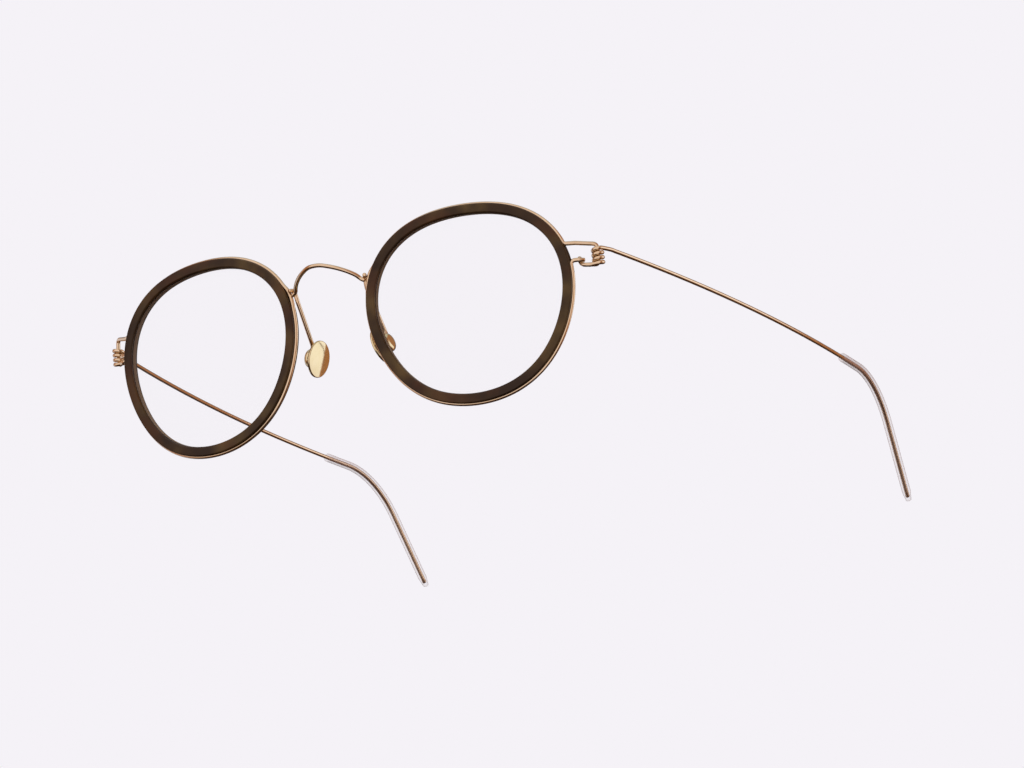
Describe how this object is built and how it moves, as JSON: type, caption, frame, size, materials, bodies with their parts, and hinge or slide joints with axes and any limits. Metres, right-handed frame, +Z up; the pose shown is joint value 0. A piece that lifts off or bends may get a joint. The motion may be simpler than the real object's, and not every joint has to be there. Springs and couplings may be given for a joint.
{
  "type": "round eyeglasses",
  "caption": "Round eyeglasses: thin wire round dark inner rims, clear lenses, a wire bridge with round metal nose pads, and slim folding wire temples with clear sleeves over the ears.",
  "frame": {"origin": "centre of the bounding box at ground level; the glasses stand upright with open temples on the foot of both rims and the tips of both temple sleeves", "axes": "+X towards the wearer's left, -Y the way the lenses face, +Y back along the open temples, +Z up"},
  "size_m": [0.139, 0.1578, 0.0432],
  "materials": {
    "gold_wire": "polished, warm gold coating",
    "pad_gold": "polished pale gold",
    "horn_brown": "satin, clouded dark brown like horn",
    "lens_clear": "clear, anti-reflection coated",
    "sleeve_clear": "clear silicone with a slight pinkish tint"
  },
  "bodies": {
    "front": {"bridge_wire": "gold_wire", "left_rim_wire": "gold_wire", "right_rim_wire": "gold_wire", "left_inner_rim": "horn_brown", "right_inner_rim": "horn_brown", "left_lens": "lens_clear", "right_lens": "lens_clear"},
    "left_temple": {"left_temple_wire": "gold_wire", "left_temple_sleeve": "sleeve_clear"},
    "right_temple": {"right_temple_wire": "gold_wire", "right_temple_sleeve": "sleeve_clear"},
    "left_pad": {"left_pad_plate": "pad_gold", "left_pad_cup": "pad_gold"},
    "right_pad": {"right_pad_plate": "pad_gold", "right_pad_cup": "pad_gold"}
  },
  "joints": [
    {"name": "left_temple_fold", "type": "hinge", "parent": "front", "child": "left_temple", "pos_m": [0.05997, -0.06309, 0.02866], "axis": [0, -0.075, 0.9972], "range_deg": [0, 90]},
    {"name": "right_temple_fold", "type": "hinge", "parent": "front", "child": "right_temple", "pos_m": [-0.05997, -0.06309, 0.02866], "axis": [0, 0.075, -0.9972], "range_deg": [0, 86]},
    {"name": "left_pad_rock", "type": "hinge", "parent": "front", "child": "left_pad", "pos_m": [0.00974, -0.06476, 0.01844], "axis": [-0.2419, -0.0727, 0.9676], "range_deg": [-12, 12]},
    {"name": "right_pad_rock", "type": "hinge", "parent": "front", "child": "right_pad", "pos_m": [-0.00974, -0.06476, 0.01844], "axis": [0.2419, -0.0727, 0.9676], "range_deg": [-12, 12]}
  ]
}
